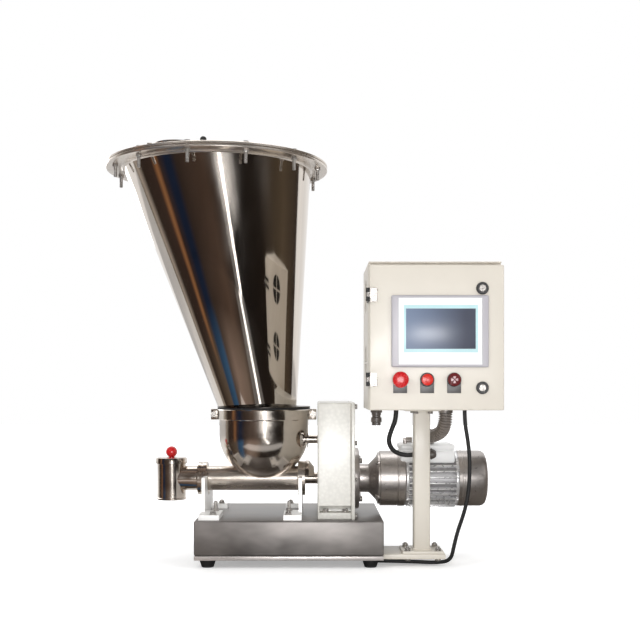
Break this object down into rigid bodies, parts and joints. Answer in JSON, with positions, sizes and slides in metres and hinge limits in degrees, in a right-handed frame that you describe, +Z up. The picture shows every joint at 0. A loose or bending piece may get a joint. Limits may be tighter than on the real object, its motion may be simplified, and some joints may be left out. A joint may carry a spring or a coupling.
{
  "type": "loss-in-weight feeder",
  "caption": "Loss-in-weight screw feeder: leaning hopper over an agitated bowl, barrel with outlet spout, gear housing and motor, and a control cabinet on a post, all on a weighed platform.",
  "frame": {"origin": "on the floor, at the centre of the four feet", "axes": "+Z up; +Y away from the operator's side, where the cabinet door is; +X from the outlet spout towards the motor"},
  "size_m": [0.9274, 0.609, 1.0245],
  "materials": {
    "dark_stainless": "satin",
    "polished_stainless": "polished",
    "bolt_steel": "satin",
    "gear_steel": "machined",
    "bare_aluminium": "satin",
    "black_rubber": "matte",
    "red_plastic": "gloss",
    "black_plastic": "matte",
    "white_plastic": "satin",
    "screen_glass": "gloss",
    "hammered_cream": "hammered",
    "cream_paint": "satin",
    "grey_paint": "satin paint",
    "conduit_plastic": "matte"
  },
  "bodies": {
    "machine": {"base_frame": "dark_stainless", "platform_cover": "dark_stainless", "load_cell": "bare_aluminium", "rubber_feet": "black_rubber", "screw_barrel": "polished_stainless", "outlet_spout": "polished_stainless", "spout_clamp": "polished_stainless", "barrel_bracket_front": "polished_stainless", "barrel_bracket_rear": "polished_stainless", "frame_bolts": "bolt_steel", "agitator_bowl": "polished_stainless", "bowl_clamp_front": "polished_stainless", "bowl_clamp_rear": "polished_stainless", "clamp_bolts": "bolt_steel", "hopper_gasket": "black_rubber", "hopper_cone": "polished_stainless", "hopper_lid": "polished_stainless", "lid_bolts": "bolt_steel", "inlet_neck": "polished_stainless", "gear_housing": "hammered_cream", "housing_cover": "hammered_cream", "shaft_bearings": "bolt_steel", "coupling_guard": "polished_stainless", "drive_bolts": "bolt_steel", "reducer": "grey_paint", "motor_frame": "bare_aluminium", "fan_cover": "grey_paint", "terminal_box": "white_plastic", "post_foot": "cream_paint", "cabinet_post": "cream_paint", "cabinet_body": "cream_paint", "mounting_plate": "bare_aluminium", "motor_drive": "black_plastic", "body_hinge_leaves": "bolt_steel", "cable_glands": "black_plastic", "motor_cable": "black_rubber", "load_cell_cable": "black_rubber", "conduit": "conduit_plastic"},
    "rotor": {"motor_rotor": "gear_steel", "cooling_fan": "black_plastic"},
    "screw": {"feed_screw": "polished_stainless", "screw_gear": "gear_steel"},
    "stirrer": {"agitator": "polished_stainless", "agitator_gear": "gear_steel"},
    "outlet_cap": {"spout_cap": "polished_stainless", "cap_knob": "red_plastic"},
    "fill_cover": {"inlet_cover": "polished_stainless", "cover_knob": "black_plastic"},
    "door": {"cabinet_door": "cream_paint", "door_hinge_leaves": "bolt_steel", "operator_panel": "white_plastic", "panel_screen": "screen_glass", "legend_plates": "black_plastic", "control_collars": "bolt_steel", "pilot_lamp": "red_plastic"},
    "stop_button": {"estop_head": "red_plastic"},
    "lit_button": {"start_button": "red_plastic"},
    "upper_lock": {"lock_upper": "bolt_steel"},
    "lower_lock": {"lock_lower": "bolt_steel"}
  },
  "joints": [
    {"name": "rotor_spin", "type": "hinge", "parent": "machine", "child": "rotor", "pos_m": [0.345, 0, 0.192], "axis": [1, 0, 0], "continuous": true},
    {"name": "screw_spin", "type": "hinge", "parent": "machine", "child": "screw", "pos_m": [0, 0, 0.192], "axis": [1, 0, 0], "continuous": true},
    {"name": "stirrer_spin", "type": "hinge", "parent": "machine", "child": "stirrer", "pos_m": [0, -0.05, 0.29], "axis": [1, 0, 0], "continuous": true},
    {"name": "cap_lift", "type": "slide", "parent": "machine", "child": "outlet_cap", "axis": [0, 0, 1], "range_m": [0, 0.04]},
    {"name": "fill_cover_hinge", "type": "hinge", "parent": "machine", "child": "fill_cover", "pos_m": [-0.339, -0.04, 0.999], "axis": [0, -1, 0], "range_deg": [0, 110]},
    {"name": "door_hinge", "type": "hinge", "parent": "machine", "child": "door", "pos_m": [0.1735, -0.319, 0.5], "axis": [0, 0, -1], "range_deg": [0, 115]},
    {"name": "stop_press", "type": "slide", "parent": "door", "child": "stop_button", "axis": [0, 1, 0], "range_m": [0, 0.0045]},
    {"name": "lit_press", "type": "slide", "parent": "door", "child": "lit_button", "axis": [0, 1, 0], "range_m": [0, 0.003], "stiffness_N_per_m": 400},
    {"name": "upper_lock_turn", "type": "hinge", "parent": "door", "child": "upper_lock", "pos_m": [0.42, -0.31, 0.629], "axis": [0, 1, 0], "range_deg": [0, 90]},
    {"name": "lower_lock_turn", "type": "hinge", "parent": "door", "child": "lower_lock", "pos_m": [0.42, -0.31, 0.415], "axis": [0, 1, 0], "range_deg": [0, 90]}
  ],
  "couplings": [
    {"joint": "screw_spin", "follows": "rotor_spin", "ratio": 0.11111},
    {"joint": "stirrer_spin", "follows": "rotor_spin", "ratio": -0.051852}
  ]
}
